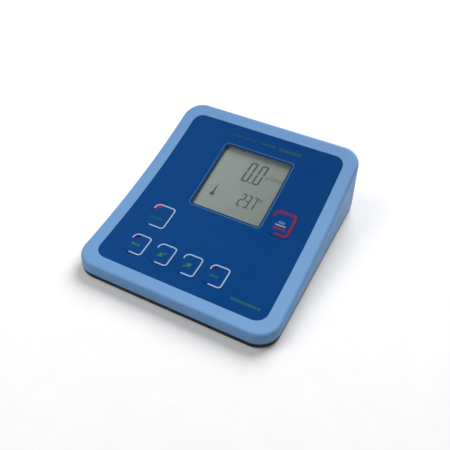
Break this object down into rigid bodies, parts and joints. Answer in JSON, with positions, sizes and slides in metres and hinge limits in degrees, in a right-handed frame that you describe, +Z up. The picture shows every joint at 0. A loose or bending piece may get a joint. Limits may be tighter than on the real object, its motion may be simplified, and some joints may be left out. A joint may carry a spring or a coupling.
{
  "type": "bench-top ph meter",
  "caption": "Desk-top pH and conductivity meter: wedge-shaped housing with a hollow sloping face, recessed LCD, membrane keys and rear electrode sockets.",
  "frame": {"origin": "centre of the whole footprint, rear sockets included, on the surface that the feet stand on", "axes": "+X to the right as the user faces the display, +Y to the rear where the sockets are, +Z up"},
  "size_m": [0.1794, 0.2116, 0.0567],
  "materials": {
    "shell_plastic": "fine satin moulded ABS, light blue",
    "base_plastic": "fine textured moulded ABS, near black",
    "foot_rubber": "matt soft rubber",
    "case_screw_steel": "bright zinc-plated steel",
    "overlay_print": "reverse-printed polyester film, dark blue, fine satin",
    "membrane_sheet": "translucent polyester sheet",
    "dome_steel": "stainless snap dome",
    "window_clear": "clear acrylic pane",
    "lcd_glass": "reflective grey-green LCD",
    "lcd_reflector": "diffuse reflector film",
    "elastomer": "soft silicone",
    "lcd_frame_plastic": "black moulded frame",
    "board_laminate": "green solder-masked laminate",
    "connector_plastic": "black moulded plastic",
    "socket_insulator": "off-white PTFE",
    "chip_plastic": "black moulded epoxy",
    "capacitor_sleeve": "dark blue shrink sleeve",
    "tinned_steel": "tinned sheet",
    "ribbon": "grey flat cable",
    "battery_case": "plain jacket",
    "lead_red": "red insulation",
    "lead_black": "black insulation",
    "plated_brass": "nickel-plated brass",
    "gold_contact": "gold-plated contact"
  },
  "bodies": {
    "housing": {"base_tray": "base_plastic", "battery": "battery_case", "battery_lead_black": "lead_black", "battery_lead_red": "lead_red", "battery_snap": "connector_plastic", "bnc_body": "plated_brass", "bnc_contact": "gold_contact", "bnc_insulator": "socket_insulator", "bnc_nut": "plated_brass", "bnc_washer": "plated_brass", "board_header": "connector_plastic", "board_screws": "case_screw_steel", "capacitors": "capacitor_sleeve", "case_screws": "case_screw_steel", "display_board": "board_laminate", "display_ribbon": "ribbon", "display_screws": "case_screw_steel", "dome_calibrate": "dome_steel", "dome_down": "dome_steel", "dome_function": "dome_steel", "dome_memory": "dome_steel", "dome_power": "dome_steel", "dome_up": "dome_steel", "electrode_lead": "lead_black", "foot_front_left": "foot_rubber", "foot_front_right": "foot_rubber", "foot_rear_left": "foot_rubber", "foot_rear_right": "foot_rubber", "input_shield": "tinned_steel", "keypad_connector": "connector_plastic", "lcd_frame": "lcd_frame_plastic", "lcd_glass": "lcd_glass", "lcd_reflector": "lcd_reflector", "main_board": "board_laminate", "membrane_circuit": "membrane_sheet", "membrane_spacer": "membrane_sheet", "membrane_tail": "membrane_sheet", "overlay_film": "overlay_print", "power_jack_body": "connector_plastic", "power_jack_nut": "plated_brass", "power_jack_pin": "plated_brass", "power_lead": "lead_black", "processor_chip": "chip_plastic", "small_chips": "chip_plastic", "temp_jack_body": "plated_brass", "temp_jack_insulator": "socket_insulator", "temp_jack_nut": "plated_brass", "temp_lead": "lead_red", "top_shell": "shell_plastic", "window_gasket": "elastomer", "window_pane": "window_clear", "zebra_strip_front": "elastomer", "zebra_strip_rear": "elastomer"},
    "key_memory": {"key_memory": "overlay_print"},
    "key_down": {"key_down": "overlay_print"},
    "key_up": {"key_up": "overlay_print"},
    "key_calibrate": {"key_calibrate": "overlay_print"},
    "key_function": {"key_function": "overlay_print"},
    "key_power": {"key_power": "overlay_print"},
    "battery_door": {"battery_door": "base_plastic"}
  },
  "joints": [
    {"name": "memory_press", "type": "slide", "parent": "housing", "child": "key_memory", "axis": [0, 0.1086, -0.9941], "range_m": [0, 0.0004], "stiffness_N_per_m": 5000, "deforming": ["dome_memory"]},
    {"name": "down_press", "type": "slide", "parent": "housing", "child": "key_down", "axis": [0, 0.1086, -0.9941], "range_m": [0, 0.0004], "stiffness_N_per_m": 5000, "deforming": ["dome_down"]},
    {"name": "up_press", "type": "slide", "parent": "housing", "child": "key_up", "axis": [0, 0.1086, -0.9941], "range_m": [0, 0.0004], "stiffness_N_per_m": 5000, "deforming": ["dome_up"]},
    {"name": "calibrate_press", "type": "slide", "parent": "housing", "child": "key_calibrate", "axis": [0, 0.1086, -0.9941], "range_m": [0, 0.0004], "stiffness_N_per_m": 5000, "deforming": ["dome_calibrate"]},
    {"name": "function_press", "type": "slide", "parent": "housing", "child": "key_function", "axis": [0, 0.1626, -0.9867], "range_m": [0, 0.0004], "stiffness_N_per_m": 5000, "deforming": ["dome_function"]},
    {"name": "power_press", "type": "slide", "parent": "housing", "child": "key_power", "axis": [0, 0.218, -0.9759], "range_m": [0, 0.0004], "stiffness_N_per_m": 5000, "deforming": ["dome_power"]},
    {"name": "battery_door_tilt", "type": "hinge", "parent": "housing", "child": "battery_door", "pos_m": [0.0613, 0.0145, 0.004], "axis": [-1, 0, 0], "range_deg": [0, 45]}
  ]
}
